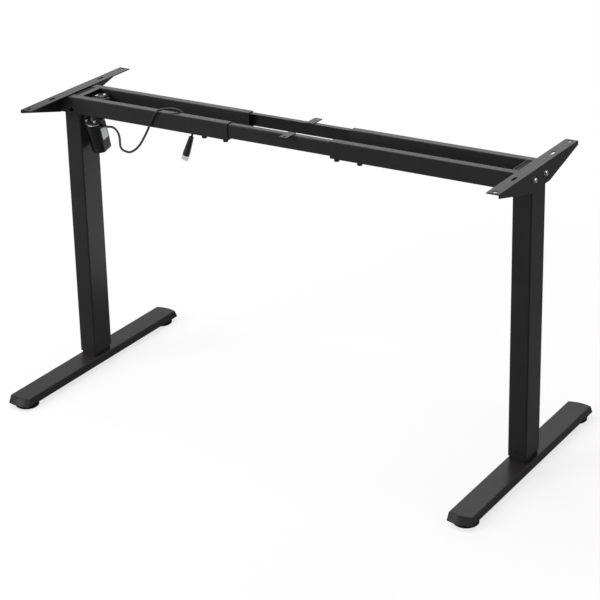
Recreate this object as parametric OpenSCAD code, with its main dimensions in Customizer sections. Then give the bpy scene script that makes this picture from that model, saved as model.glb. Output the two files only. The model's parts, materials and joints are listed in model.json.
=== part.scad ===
// Height adjustable desk frame: two telescopic columns on long feet, a top frame that
// slides to the width of the desktop, one motor and a cross shaft that drives both columns.
// Millimetres. Origin on the floor, midway between the feet; +X along the beam, +Y to the
// back, +Z up. The columns stand at their lowest height.

/* [Overall] */
// Floor to the faces that carry the desktop, columns down
height = 715; // [700:1:740]
// Distance between the centre lines of the two columns
column_spacing = 1179; // [1150:1:1220]
// How far the columns extend
lift_travel = 460; // [300:10:460]

/* [Columns] */
// Outer tube, size along the beam
column_w = 45; // [44:0.5:50]
// Outer tube, size front to back
column_d = 70; // [68:1:76]
// Outer tube wall
column_wall = 1.5; // [1.2:0.1:2]
// Outer tube corner radius
column_r = 4; // [3:0.5:6]
// Room between outer and inner tube on each side
column_gap = 1; // [0.8:0.1:1.5]
// Inner tube wall
inner_wall = 1.5; // [1.2:0.1:2.5]
// Foot to the lower end of the outer tube
column_lift_off = 12; // [6:1:20]
// Height of the glide strips
glide_h = 40; // [25:1:60]
// Running clearance of the glide strips
glide_clear = 0.15; // [0.1:0.05:0.3]
// Glide screw above the lower end of the outer tube
glide_screw_up = 15; // [10:1:20]

/* [Feet] */
// Length of the flat top of a foot, corner to corner
foot_len = 608; // [560:1:680]
// Width of the flat top of a foot
foot_w = 58; // [54:1:66]
// Height of the foot beam
foot_h = 18.5; // [16:0.5:24]
// Slope of the long sides, over the height
foot_draft = 1; // [0:0.5:3]
// Slope of the two ends, over the height
foot_end_lean = 7.5; // [2:0.5:12]
// Bulge of the curved ends
foot_end_bulge = 6; // [3:0.5:12]
// Sheet thickness of a foot
foot_wall = 2; // [1.5:0.1:3]
// Rounding along the top edges of a foot
foot_edge_r = 2.5; // [1.5:0.5:4]
// Levelling pad diameter
pad_d = 57; // [40:1:58]
// Levelling pad height, floor to the foot beam
pad_h = 12; // [10:0.5:16]
// Centre of a levelling pad from the end of the flat top
pad_in = 24; // [21:1:50]
// Levelling stud diameter
stud_d = 10; // [8:1:12]

/* [Top frame] */
// Outer rail, width
rail_w = 20; // [18:1:25]
// Outer rail, height
rail_h = 40; // [38:1:45]
// Outer rail wall
rail_wall = 2; // [1.5:0.1:2.5]
// Outer rail length
rail_len = 478; // [440:1:500]
// Side gap of an inner rail in an outer rail
rail_side_gap = 0.5; // [0.3:0.1:1]
// Top gap of an inner rail in an outer rail
rail_top_gap = 0.1; // [0.1:0.1:0.3]
// Room under the web of an inner rail
clamp_room = 3.2; // [2:0.1:4]
// Inner rail length
inner_rail_len = 900; // [860:1:940]
// Shift of the inner rails towards the right column
centre_shift = 28; // [0:1:40]
// Inner rail wall
inner_rail_wall = 1.5; // [1.2:0.1:2]
// Width of a centre tab
tab_w = 20; // [16:1:30]
// Reach of a centre tab from the middle of the frame
tab_reach = 77; // [72:1:90]
// Thickness of a centre tab
tab_t = 1.6; // [1.2:0.1:2.4]
// Hole in a centre tab
tab_hole_d = 7; // [5:0.5:9]
// Tab hole from the tip of the tab
tab_hole_in = 7; // [6:0.5:10]
// First clamp screw from the end of the outer rail
clamp_first = 12; // [8:1:20]
// Distance of the two clamp screws of a rail
clamp_pitch = 58; // [40:1:80]

/* [Side brackets] */
// Length front to back
bracket_len = 388; // [340:1:440]
// Width of the top flange
bracket_w = 30; // [26:1:40]
// Thickness of the top flange
flange_t = 2.5; // [2:0.5:4]
// Thickness of the web
web_t = 2; // [1.5:0.5:3]
// Depth of the web at the column
web_depth = 46; // [44:1:60]
// Depth of the web at its two ends
web_end = 9; // [6:1:16]
// Length of the web at full depth
web_flat = 100; // [80:1:140]
// End hole diameter
end_hole_d = 11; // [5:0.5:12]
// Distance of the two end holes
end_hole_pitch = 364; // [300:1:370]
// Slot width
slot_w = 7; // [5:0.5:9]
// Slot length
slot_len = 24; // [16:1:40]
// Distance of the two slots
slot_pitch = 189; // [150:1:220]

/* [Fasteners] */
// Bracket bolt diameter
bolt_d = 6; // [5:1:8]
// Distance of the two bracket bolts
bolt_pitch = 53; // [50:1:56]
// Bracket bolts below the desktop
bolt_drop = 22; // [20:1:24]
// Clearance of a screw in its hole, on the diameter
hole_clear = 0.2; // [0.1:0.1:0.5]
// Clamp screw diameter
clamp_d = 6; // [5:1:8]

/* [Drive] */
// Lead screw diameter
screw_d = 14; // [12:1:16]
// Lead of the lead screw, rise for one turn
screw_lead = 10; // [8:1:12]
// Running clearance on the diameter
run_clear = 0.1; // [0.06:0.02:0.16]
// Cross shaft above the lower face of the rails
shaft_up = 7.5; // [6:0.5:8]
// Cross shaft, across the flats
hex_af = 8; // [7:0.5:9]
// Sliding clearance between cross rod and cross tube, across the flats
hex_clear = 0.3; // [0.2:0.1:0.5]
// Cross tube, across the flats
hex_tube_af = 12; // [11.5:0.5:13]
// Pitch radius of the bevel gears
bevel_r = 13; // [12:0.5:13.5]
// Teeth of a bevel gear
bevel_teeth = 16; // [14:1:18]
// Distance of the worm from the cross shaft
worm_centre = 23.2; // [22.5:0.1:24]
// Teeth of the worm wheel
wheel_teeth = 24; // [20:1:28]
// Motor axis from the column
motor_out = 29; // [27:1:34]
// Lean of the motor from upright
motor_lean = 15; // [5:1:18]
// Motor can diameter
can_d = 48; // [44:1:48]
// Motor can, across its flats
can_flats = 40; // [36:0.5:40]
// Motor can length
can_len = 79; // [60:1:90]

/* [Motor lead] */
// Lead diameter
lead_d = 5.5; // [4:0.5:6]
// Connector boot length
boot_len = 50; // [40:1:60]

/* [Hidden] */
$fn = 48;

// Overlap of a cut past the face that it opens
cut = 1;
// Colours
coat = "#2b2b2d";
zinc = "#c9ccd0";
steel = "#9a9da1";
plastic = "#1c1c1e";
nylon = "#e8e6dc";
alloy = "#a4a6a8";
casting = "#3a3b3e";
bronze = "#b08d57";
foil = "#c2c3c5";
rubber = "#202022";

// Levels
col_x = column_spacing / 2;
col_in = col_x - column_w / 2;
col_out = col_x + column_w / 2;
rail_top = height - flange_t;
rail_bottom = rail_top - rail_h;
shaft_z = rail_bottom + shaft_up;
foot_base = pad_h;
foot_top = foot_base + foot_h;
column_bottom = foot_top + column_lift_off;
bolt_z = height - bolt_drop;
pad_pitch = foot_len - 2 * pad_in;
bolt_af = 9;
bolt_head_h = 4.5;
bolt_flange_d = 11;
bolt_flange_t = 1.2;

// Inner tube, from the outer tube and the room between them
inner_w = column_w - 2 * column_wall - 2 * column_gap;
inner_d = column_d - 2 * column_wall - 2 * column_gap;
inner_r = column_r - column_gap;
glide_t = column_gap - glide_clear;
glide_screw_d = 3;
glide_hole_d = glide_screw_d + hole_clear;
plug_t = 6;
glide_side = 1;
glide_tip_gap = 0.1;
glide_head_d = 6;
glide_head_top_d = 4.4;
glide_head_h = 1;

// Bearing housing in the head of a column, stacked down from the cross shaft
housing_gap = 0.1;
housing_w = column_w - 2 * column_wall - 2 * housing_gap;
housing_d = column_d - 2 * column_wall - 2 * housing_gap;
housing_r = column_r - column_wall + 0.5;
housing_side = 4;
bearing_d = 26;
bearing_h = 8;
journal_d = 10;
gear_hub_h = 4;
gear_hub_d = 16;
gear_back_h = 3;
bearing_top = shaft_z - bevel_r - gear_back_h - gear_hub_h;
bearing_bottom = bearing_top - bearing_h;
housing_floor = 6;
housing_bottom = bearing_bottom - housing_floor;
cover_t = 2.5;
cover_drop = 1.2;
housing_top = rail_top - cover_drop - cover_t;
gear_room = 5;
hub_d = 14;
shaft_hole_d = hub_d + 2;
screw_room = 2;
bearing_gap = 0.1;
journal_in = 2.5;

// Inner tube top, nut and lead screw, stacked down from the housing
inner_top_gap = 7;
inner_top = housing_bottom - inner_top_gap;
nut_h = 30;
nut_w = inner_w - 2 * inner_wall - 2 * housing_gap;
nut_d = inner_d - 2 * inner_wall - 2 * housing_gap;
nut_bottom = inner_top - nut_h;
screw_tail = 10;
screw_bottom = nut_bottom - lift_travel - screw_tail;

// Top frame
rail_y = column_d / 2 + rail_w / 2;
rail_end = col_out - rail_len;
inner_rail_w = rail_w - 2 * rail_wall - 2 * rail_side_gap;
inner_rail_h = rail_h - 2 * rail_wall - rail_top_gap - clamp_room;
inner_rail_top = rail_top - rail_wall - rail_top_gap;
clamp_nut_t = 2;
clamp_nut_af = 10;
clamp_head_d = 12;
clamp_head_h = 5;
clamp_tip_gap = 0.1;
clamp_tip_z = inner_rail_top - inner_rail_wall - clamp_tip_gap;
clamp_socket_af = 5;
clamp_socket_h = 2.5;

// Brackets
bracket_out = col_out + web_t;
flange_x = bracket_out - bracket_w / 2;

// Bevel gears
tooth_t = 1.3;
tooth_up = 0.9;
tooth_down = 1;
tooth_len = 4.5;
// The pinions and the shaft stand half a tooth round, so that the gears mesh
hex_turn = 180 / bevel_teeth;

// Motor and gearbox on the left column
face_x = -col_in;
hang_t = 2.5;
hang_flange = 12.5;
motor_x = face_x + motor_out;
wheel_tip_r = 17.3;
wheel_root_r = wheel_tip_r - 1.8;
wheel_room = 1.7;
worm_gap = 0.2;
worm_tip_r = worm_centre - wheel_tip_r - worm_gap;
worm_thread_h = 1.6;
worm_root_r = worm_tip_r - worm_thread_h;
// Pitch of the single thread of the worm, one tooth of the wheel
worm_pitch = PI * (wheel_tip_r + wheel_root_r) / wheel_teeth;
worm_lead_angle = atan(worm_pitch / (PI * (worm_tip_r + worm_root_r)));
chamber_r = wheel_tip_r + wheel_room;
chamber_wall = 2.5;
chamber_out = chamber_r + chamber_wall;
chamber_len = 46;
chamber_end = face_x + hang_t + chamber_len;
gear_cover_t = 3;
worm_top = 8;
worm_bottom = -12;
worm_room_r = worm_tip_r + 0.6;
worm_case_r = worm_room_r + 2.2;
worm_room_down = 2;
worm_room_up = 0.5;
worm_case_up = 2;
collar_top = -21;
neck_r = 14;
collar_r = can_d / 2 - 1;
can_top = -27;
can_bottom = can_top - can_len;
worm_rod_d = 6;
worm_rod_in = 14;
rod_hole_r = worm_rod_d / 2 + 0.5;
neck_up = 9;
ear_r = 4;
ear_out = 1.5;
ear_at = chamber_out + ear_out;
ear_screw_in = 10;
ear_head_d = 7;
ear_head_h = 3;
ear_angles = [45, 225, 315];
gear_screw_d = 4;
pad_front = 0;
pad_rear = 24;
pad_rise = 1.5;
pad_root = 8;
pad_len = 40;
top_bite = 2.5;
top_head_d = 8;
top_head_h = 2.5;
motor_head_d = 8;
motor_head_h = 6;
motor_screw_in = 6;
blind_room = 0.5;
cover_boss_d = 22;
cover_boss_h = 3;
hang_gap = 0.1;
hang_below = 2;
can_end_r = 4;
plate_down = 14.6;
plate_top = can_top - plate_down;
plate_size = [0.4, 20, 31];
gland_d = 8;

// Cross shaft
rod_min = -120;
tube_max = 300;
tube_gap = 8;
tube_min = chamber_end + gear_cover_t + tube_gap;
shaft_join = 60;

// Route of the motor lead, from the gland to the boot, seen from the column face and the
// faces that carry the desktop
lead_points = [
  [58, -14, -77], [66, -14, -77], [79, -19, -74], [92, -24, -74], [102, -28, -78],
  [110, -32, -85], [115, -36, -95], [118, -40, -104], [123, -44, -111], [133, -48, -115],
  [143, -50, -116], [154, -53, -115], [167, -55, -109], [178, -57, -101], [188, -58, -91],
  [197, -59, -79], [205, -59, -66], [213, -59, -52], [220, -59, -38], [227, -59, -25],
  [233, -59, -14], [239, -59, -5], [245, -57, 1], [252, -52, 4], [261, -45, 5],
  [271, -38, 4], [282, -33, 2], [293, -30, -4], [302, -29, -14], [310, -28, -26],
  [315, -27, -39], [317, -26, -52], [314, -26, -60]];
lead_route = [for (p = lead_points) p + [face_x, 0, height]];
lead_last = len(lead_points) - 1;
boot_dir = lead_points[lead_last] - lead_points[lead_last - 1];
boot_d1 = 10;
boot_d2 = 17;
plug_size = [15, 9, 14];
plug_in = 6;
plug_slot = 1.6;

// --- Helpers -------------------------------------------------------------

// Rectangle with rounded corners, centred
module round_rect(w, d, r) {
  square([w - 2 * r, d], center = true);
  square([w, d - 2 * r], center = true);
  for (sx = [-1, 1], sy = [-1, 1])
    translate([sx * (w / 2 - r), sy * (d / 2 - r)]) circle(r = r);
}

// Upright rectangular tube
module tube_up(w, d, r, wall, h) {
  linear_extrude(h) difference() {
    round_rect(w, d, r);
    round_rect(w - 2 * wall, d - 2 * wall, max(r - wall, 0.5));
  }
}

// Rectangular tube along +X
module tube_along(w, h, r, wall, len) {
  rotate([90, 0, 90]) linear_extrude(len) difference() {
    round_rect(w, h, r);
    round_rect(w - 2 * wall, h - 2 * wall, max(r - wall, 0.3));
  }
}

// Cylinder along +X
module rod_x(d, len) {
  rotate([0, 90, 0]) cylinder(d = d, h = len);
}

// Hexagonal bar along +X, flats up and down
module hex_x(af, len) {
  rotate([0, 90, 0]) cylinder(d = af / cos(30), h = len, $fn = 6);
}

// Children drawn for the right-hand end, mirrored for the left-hand end
module at_end(side) {
  if (side < 0) mirror([1, 0, 0]) children();
  else children();
}

// --- Feet ----------------------------------------------------------------

foot_end_r = (pow(foot_w / 2, 2) + pow(foot_end_bulge, 2)) / (2 * foot_end_bulge);
foot_end_y = foot_len / 2 + foot_end_bulge - foot_end_r;

// Section of the foot across its length, rounded along the top edges
module foot_section(inset) {
  r = max(foot_edge_r - inset, 0.5);
  top_w = foot_w - 2 * inset;
  low_w = foot_w + 2 * foot_draft - 2 * inset;
  top = foot_h - inset;
  polygon([[-low_w / 2, -inset], [low_w / 2, -inset], [top_w / 2, top - r], [-top_w / 2, top - r]]);
  translate([-top_w / 2 + r, -inset]) square([top_w - 2 * r, top + inset]);
  for (s = [-1, 1]) translate([s * (top_w / 2 - r), top - r]) circle(r = r);
}

// Curved end of the foot, turned about an upright line
module foot_turned_end(inset) {
  r = max(foot_edge_r - inset, 0.5);
  top_r = foot_end_r - inset;
  low_r = top_r + foot_end_lean;
  top = foot_h - inset;
  rotate_extrude($fn = 180) {
    polygon([[0, -inset], [low_r, -inset], [top_r, top - r], [0, top - r]]);
    translate([0, -inset]) square([top_r - r, top + inset]);
    translate([top_r - r, top - r]) circle(r = r, $fn = 48);
  }
}

module foot_form(inset) {
  intersection() {
    translate([0, foot_len, 0]) rotate([90, 0, 0]) linear_extrude(2 * foot_len) foot_section(inset);
    union() {
      translate([-foot_w, -foot_end_y, -inset]) cube([2 * foot_w, 2 * foot_end_y, foot_h + inset]);
      for (s = [-1, 1]) translate([0, s * foot_end_y, 0]) foot_turned_end(inset);
    }
  }
}

pad_boss_t = 4;
pad_boss_len = 34;
foot_bolt_d = 8;
foot_bolt_x = 11;
foot_bolt_y = 22;
foot_bolt_head = 5;
foot_bolt_af = 13;
foot_bolt_short = 0.5;

module foot() {
  color(coat) translate([col_x, 0, foot_base]) difference() {
    union() {
      difference() {
        foot_form(0);
        foot_form(foot_wall);
      }
      for (s = [-1, 1])
        translate([-foot_w / 2 + foot_wall / 2, s * pad_pitch / 2 - pad_boss_len / 2, 0])
          cube([foot_w - foot_wall, pad_boss_len, pad_boss_t]);
    }
    for (s = [-1, 1])
      translate([0, s * pad_pitch / 2, -cut])
        cylinder(d = stud_d + run_clear, h = pad_boss_t + 2 * cut);
    for (sx = [-1, 1], sy = [-1, 1])
      translate([sx * foot_bolt_x, sy * foot_bolt_y, foot_h - foot_wall - cut])
        cylinder(d = foot_bolt_d + hole_clear, h = foot_wall + 2 * cut);
  }
}

module foot_bolts() {
  color(zinc) for (sx = [-1, 1], sy = [-1, 1])
    translate([col_x + sx * foot_bolt_x, sy * foot_bolt_y, foot_top - foot_wall]) {
      translate([0, 0, -foot_bolt_head]) cylinder(d = foot_bolt_af / cos(30), h = foot_bolt_head, $fn = 6);
      cylinder(d = foot_bolt_d, h = foot_wall + plug_t - foot_bolt_short);
    }
}

// Levelling foot: a round pad moulded on a threaded stud
module level_foot(end_y) {
  gap = 0.1;
  hub_h = foot_base - gap;
  hub_r = 12;
  rim_h = 8;
  low_bevel = 2;
  top_bevel = 1.5;
  color(rubber) translate([col_x, end_y * pad_pitch / 2, 0]) {
    rotate_extrude($fn = 96) polygon([
      [0, 0], [pad_d / 2 - low_bevel, 0], [pad_d / 2, low_bevel], [pad_d / 2, rim_h - top_bevel],
      [pad_d / 2 - top_bevel, rim_h], [hub_r, hub_h - 1], [hub_r - 1, hub_h], [0, hub_h]]);
    cylinder(d = stud_d, h = foot_top - foot_wall - 1);
  }
}

// --- Columns -------------------------------------------------------------

module inner_tube() {
  color(coat) difference() {
    translate([col_x, 0, foot_top]) {
      tube_up(inner_w, inner_d, inner_r, inner_wall, inner_top - foot_top);
      linear_extrude(plug_t)
        round_rect(inner_w - inner_wall, inner_d - inner_wall, inner_r - inner_wall / 2);
    }
    for (sx = [-1, 1], sy = [-1, 1])
      translate([col_x + sx * foot_bolt_x, sy * foot_bolt_y, foot_top - cut])
        cylinder(d = foot_bolt_d + run_clear, h = plug_t + 2 * cut);
  }
}

// Strips on the four flat sides of a column, at distance gap from the inner tube
module glide_strips(from, bottom) {
  wide = inner_w - 2 * inner_r - 2 * glide_side;
  deep = inner_d - 2 * inner_r - 2 * glide_side;
  for (s = [-1, 1]) {
    translate([col_x + s * (inner_w / 2 + from + glide_t / 2), 0, bottom + glide_h / 2])
      cube([glide_t, deep, glide_h], center = true);
    translate([col_x, s * (inner_d / 2 + from + glide_t / 2), bottom + glide_h / 2])
      cube([wide, glide_t, glide_h], center = true);
  }
}

module glide_upper() {
  color(nylon) glide_strips(0, inner_top - glide_h);
}

module glide_lower() {
  color(nylon) difference() {
    glide_strips(glide_clear, column_bottom);
    translate([col_x, 0, column_bottom + glide_screw_up]) rotate([90, 0, 0])
      cylinder(d = glide_hole_d, h = 2 * column_d, center = true);
  }
}

module glide_screws() {
  color(coat) for (s = [-1, 1])
    translate([col_x, s * column_d / 2, column_bottom + glide_screw_up]) rotate([-s * 90, 0, 0]) {
      cylinder(d1 = glide_head_d, d2 = glide_head_top_d, h = glide_head_h);
      translate([0, 0, -column_wall - glide_t + glide_tip_gap])
        cylinder(d = glide_screw_d, h = column_wall + glide_t);
    }
}

module lift_nut() {
  color(nylon) translate([col_x, 0, nut_bottom]) difference() {
    linear_extrude(nut_h) round_rect(nut_w, nut_d, inner_r);
    translate([0, 0, -cut]) cylinder(d = screw_d + run_clear, h = nut_h + 2 * cut);
  }
}

module outer_tube() {
  color(coat) difference() {
    translate([col_x, 0, column_bottom])
      tube_up(column_w, column_d, column_r, column_wall, rail_top - column_bottom);
    for (s = [-1, 1])
      translate([col_out - column_wall - cut, s * bolt_pitch / 2, bolt_z])
        rod_x(bolt_d + hole_clear, column_wall + 2 * cut);
    translate([col_in - cut, 0, shaft_z]) rod_x(shaft_hole_d, column_wall + 2 * cut);
    translate([col_x, 0, column_bottom + glide_screw_up]) rotate([90, 0, 0])
      cylinder(d = glide_hole_d, h = 2 * column_d, center = true);
  }
}

// --- Drive in the head of a column ---------------------------------------

bolt_bite = 12;

module bevel_housing() {
  color(alloy) difference() {
    translate([col_x, 0, housing_bottom])
      linear_extrude(housing_top - housing_bottom) round_rect(housing_w, housing_d, housing_r);
    translate([col_x, 0, bearing_top]) linear_extrude(housing_top - bearing_top + cut)
      square([housing_w - 2 * housing_side, 2 * (bevel_r + gear_room)], center = true);
    translate([col_x, 0, bearing_bottom]) cylinder(d = bearing_d + hole_clear, h = bearing_h + cut);
    translate([col_x, 0, housing_bottom - cut])
      cylinder(d = screw_d + 2 * screw_room, h = housing_floor + 2 * cut);
    translate([col_x - housing_w / 2 - cut, 0, shaft_z])
      rod_x(hub_d + run_clear, housing_side + 2 * cut);
    for (s = [-1, 1])
      translate([col_x + housing_w / 2 - bolt_bite, s * bolt_pitch / 2, bolt_z])
        rod_x(bolt_d + run_clear, bolt_bite + cut);
  }
}

module housing_cover() {
  color(plastic) translate([col_x, 0, housing_top])
    linear_extrude(cover_t) round_rect(housing_w, housing_d, housing_r);
}

module screw_bearing() {
  color(steel) translate([col_x, 0, bearing_bottom]) difference() {
    cylinder(d = bearing_d, h = bearing_h);
    translate([0, 0, -cut]) cylinder(d = journal_d + run_clear, h = bearing_h + 2 * cut);
  }
}

groove_t = 0.8;

module lead_screw() {
  shoulder = bearing_bottom - bearing_gap;
  color(steel) translate([col_x, 0, 0]) {
    difference() {
      translate([0, 0, screw_bottom]) cylinder(d = screw_d, h = shoulder - screw_bottom);
      for (z = [screw_bottom + screw_lead : screw_lead : nut_bottom - screw_lead])
        translate([0, 0, z]) rotate_extrude()
          translate([screw_d / 2 - groove_t, 0]) square([groove_t + cut, screw_lead / 3]);
    }
    translate([0, 0, shoulder]) cylinder(d = journal_d, h = shaft_z - bevel_r + journal_in - shoulder);
  }
}

// Bevel gear below its apex, axis upright
module bevel(bore_d, bore_sides) {
  root_r = bevel_r - tooth_down;
  tip_r = bevel_r + tooth_up;
  difference() {
    union() {
      translate([0, 0, -bevel_r]) cylinder(r1 = root_r, r2 = root_r - tooth_len, h = tooth_len);
      translate([0, 0, -bevel_r - gear_back_h]) cylinder(r = root_r, h = gear_back_h);
      intersection() {
        translate([0, 0, -bevel_r]) cylinder(r1 = tip_r, r2 = tip_r - tooth_len, h = tooth_len);
        for (i = [0 : bevel_teeth - 1]) rotate(i * 360 / bevel_teeth)
          translate([bevel_r / 2, -tooth_t / 2, -bevel_r - cut / 2])
            cube([bevel_r, tooth_t, tooth_len + cut]);
      }
    }
    translate([0, 0, -2 * bevel_r]) cylinder(d = bore_d, h = 2 * bevel_r, $fn = bore_sides);
  }
}

module bevel_gear() {
  color(steel) translate([col_x, 0, shaft_z]) {
    bevel(journal_d + run_clear, 48);
    translate([0, 0, -bevel_r - gear_back_h - gear_hub_h + bearing_gap]) difference() {
      cylinder(d = gear_hub_d, h = gear_hub_h - bearing_gap);
      translate([0, 0, -cut]) cylinder(d = journal_d + run_clear, h = gear_hub_h + 2 * cut);
    }
  }
}

hub_len = 9;
hex_bore_d = (hex_af + hole_clear) / cos(30);

module bevel_pinion() {
  color(steel) translate([col_x, 0, shaft_z]) rotate([0, 90, 0]) rotate(hex_turn) {
    bevel(hex_bore_d, 6);
    translate([0, 0, -bevel_r - gear_back_h - hub_len]) difference() {
      cylinder(d = hub_d, h = hub_len);
      translate([0, 0, -cut]) cylinder(d = hex_bore_d, h = hub_len + 2 * cut, $fn = 6);
    }
  }
}

// --- Cross shaft ---------------------------------------------------------

pinion_seat = 10;

module drive_shaft() {
  color(steel) translate([-col_x + pinion_seat, 0, shaft_z])
    rotate([hex_turn, 0, 0]) hex_x(hex_af, col_x - pinion_seat + tube_min + shaft_join);
}

module cross_tube() {
  color(steel) translate([tube_min, 0, shaft_z]) rotate([hex_turn, 0, 0]) difference() {
    hex_x(hex_tube_af, tube_max - tube_min);
    translate([-cut, 0, 0]) hex_x(hex_af + hex_clear, tube_max - tube_min + 2 * cut);
  }
}

module cross_rod() {
  color(steel) translate([rod_min, 0, shaft_z])
    rotate([hex_turn, 0, 0]) hex_x(hex_af, col_x - pinion_seat - rod_min);
}

// --- Motor and gearbox ---------------------------------------------------

// Places children with +Z up along the leaning motor axis, level with the cross shaft
module on_motor_axis() {
  translate([motor_x, -worm_centre * cos(motor_lean), shaft_z - worm_centre * sin(motor_lean)])
    rotate([motor_lean, 0, 0]) children();
}

wheel_w = 12;
wheel_tooth_t = 2;
wheel_tooth_h = 3;
wheel_hub_d = 16;
wheel_hub_out = 6;

module worm_wheel() {
  color(bronze) translate([motor_x, 0, shaft_z]) rotate([hex_turn, 0, 0]) difference() {
    union() {
      translate([-wheel_w / 2, 0, 0]) rod_x(2 * wheel_root_r, wheel_w);
      intersection() {
        translate([-wheel_w / 2, 0, 0]) rod_x(2 * wheel_tip_r, wheel_w);
        for (i = [0 : wheel_teeth - 1]) rotate([i * 360 / wheel_teeth, 0, 0])
          translate([0, 0, wheel_tip_r - 2]) rotate([0, 0, worm_lead_angle])
            cube([2 * wheel_w, wheel_tooth_t, 2 * wheel_tooth_h], center = true);
      }
      translate([-wheel_w / 2 - wheel_hub_out, 0, 0]) rod_x(wheel_hub_d, wheel_w + 2 * wheel_hub_out);
    }
    translate([-wheel_w, 0, 0]) hex_x(hex_af + hole_clear, 2 * wheel_w);
  }
}

// Worm on the motor shaft, with rings in place of its thread
module worm_shaft() {
  len = worm_top - worm_bottom;
  rings = floor(len / worm_pitch);
  first = (len - (rings - 1) * worm_pitch) / 2;
  color(steel) on_motor_axis() {
    translate([0, 0, worm_bottom]) rotate_extrude() {
      square([worm_root_r, len]);
      for (i = [0 : rings - 1]) translate([0, first + i * worm_pitch])
        polygon([[worm_root_r - 1, -worm_pitch / 3], [worm_root_r, -worm_pitch / 3],
          [worm_tip_r, -worm_pitch / 6], [worm_tip_r, worm_pitch / 6],
          [worm_root_r, worm_pitch / 3], [worm_root_r - 1, worm_pitch / 3]]);
    }
    translate([0, 0, can_top - worm_rod_in])
      cylinder(d = worm_rod_d, h = worm_bottom - can_top + worm_rod_in);
  }
}

module gear_ears(x0, len) {
  for (a = ear_angles) rotate([a, 0, 0]) translate([x0, 0, ear_at]) rod_x(2 * ear_r, len);
}

module gearbox_housing() {
  x0 = face_x + hang_t;
  color(casting) difference() {
    union() {
      translate([x0, 0, shaft_z]) rod_x(2 * chamber_out, chamber_len);
      translate([0, 0, shaft_z]) gear_ears(x0, chamber_len);
      translate([x0, pad_front, shaft_z + chamber_out - pad_root])
        cube([pad_len, pad_rear - pad_front, pad_root + pad_rise]);
      on_motor_axis() rotate_extrude() polygon([
        [0, can_top], [collar_r, can_top], [collar_r, collar_top], [neck_r, collar_top],
        [worm_case_r, collar_top + neck_up], [worm_case_r, worm_top + worm_case_up],
        [0, worm_top + worm_case_up]]);
    }
    translate([x0 + chamber_wall, 0, shaft_z]) rod_x(2 * chamber_r, chamber_len);
    translate([x0 - cut, 0, shaft_z]) rod_x(shaft_hole_d, chamber_wall + 2 * cut);
    on_motor_axis() rotate_extrude() polygon([
      [0, can_top - cut], [rod_hole_r, can_top - cut], [rod_hole_r, worm_bottom - worm_room_down],
      [worm_room_r, worm_bottom - worm_room_down], [worm_room_r, worm_top + worm_room_up],
      [0, worm_top + worm_room_up]]);
    for (a = ear_angles) translate([0, 0, shaft_z]) rotate([a, 0, 0])
      translate([chamber_end - ear_screw_in - 2 * cut, 0, ear_at])
        rod_x(gear_screw_d + run_clear, ear_screw_in + 3 * cut);
    for (p = top_screws) translate([p[0], p[1], pad_z - top_bite - blind_room])
      cylinder(d = gear_screw_d + run_clear, h = top_bite + blind_room + cut);
    for (p = motor_screws) on_motor_axis() translate([p[0], p[1], can_top - cut])
      cylinder(d = gear_screw_d + run_clear, h = collar_top - can_top + 2 * cut);
  }
}

pad_z = shaft_z + chamber_out + pad_rise;
top_screws = [[face_x + 23, pad_front + 4], [face_x + 35, pad_rear - 4]];
motor_screws = [[-11, -15.5], [11, -15.5]];
cover_hole_d = hex_af / cos(30) + 1;

module gearbox_cover() {
  color(casting) translate([chamber_end, 0, shaft_z]) rotate([90, 0, 90]) {
    linear_extrude(gear_cover_t) difference() {
      union() {
        circle(r = chamber_out);
        for (a = ear_angles) rotate(a) translate([0, ear_at]) circle(r = ear_r);
      }
      circle(d = cover_hole_d);
      for (a = ear_angles) rotate(a) translate([0, ear_at]) circle(d = gear_screw_d + hole_clear);
    }
    translate([0, 0, gear_cover_t / 2]) linear_extrude(gear_cover_t / 2 + cover_boss_h) difference() {
      circle(d = cover_boss_d);
      circle(d = cover_hole_d);
    }
  }
}

module gearbox_screws() {
  color(zinc) {
    translate([chamber_end + gear_cover_t, 0, shaft_z]) for (a = ear_angles) rotate([a, 0, 0])
      translate([0, 0, ear_at]) {
        rod_x(ear_head_d, ear_head_h);
        translate([-gear_cover_t - ear_screw_in, 0, 0])
          rod_x(gear_screw_d, gear_cover_t + ear_screw_in);
      }
    for (p = top_screws) translate([p[0], p[1], pad_z]) {
      cylinder(d = top_head_d, h = top_head_h);
      translate([0, 0, -top_bite]) cylinder(d = gear_screw_d, h = top_bite);
    }
    for (p = motor_screws) on_motor_axis() translate([p[0], p[1], collar_top]) {
      cylinder(d = motor_head_d, h = motor_head_h);
      translate([0, 0, can_top - collar_top - motor_screw_in])
        cylinder(d = gear_screw_d, h = collar_top - can_top + motor_screw_in);
    }
  }
}

module gearbox_bracket() {
  half = column_d / 2 - hang_gap;
  low = shaft_z - chamber_out - hang_below;
  color(coat) difference() {
    union() {
      translate([face_x, -half, low]) cube([hang_t, 2 * half, rail_top - low]);
      translate([face_x, -half, rail_top - hang_t]) cube([hang_flange, 2 * half, hang_t]);
    }
    translate([face_x - cut, 0, shaft_z]) rod_x(shaft_hole_d, hang_t + 2 * cut);
  }
}

module motor_can() {
  color(plastic) on_motor_axis() difference() {
    intersection() {
      translate([0, 0, can_bottom]) rotate_extrude($fn = 96) {
        square([can_d / 2 - can_end_r, can_len]);
        translate([0, can_end_r]) square([can_d / 2, can_len - can_end_r]);
        translate([can_d / 2 - can_end_r, can_end_r]) circle(r = can_end_r);
      }
      translate([-can_flats / 2, -can_d, can_bottom]) cube([can_flats, 2 * can_d, can_len]);
    }
    translate([0, 0, can_top - worm_rod_in - cut]) cylinder(r = rod_hole_r, h = worm_rod_in + 2 * cut);
    for (p = motor_screws) translate([p[0], p[1], can_top - motor_screw_in - cut])
      cylinder(d = gear_screw_d + run_clear, h = motor_screw_in + 2 * cut);
  }
}

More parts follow.
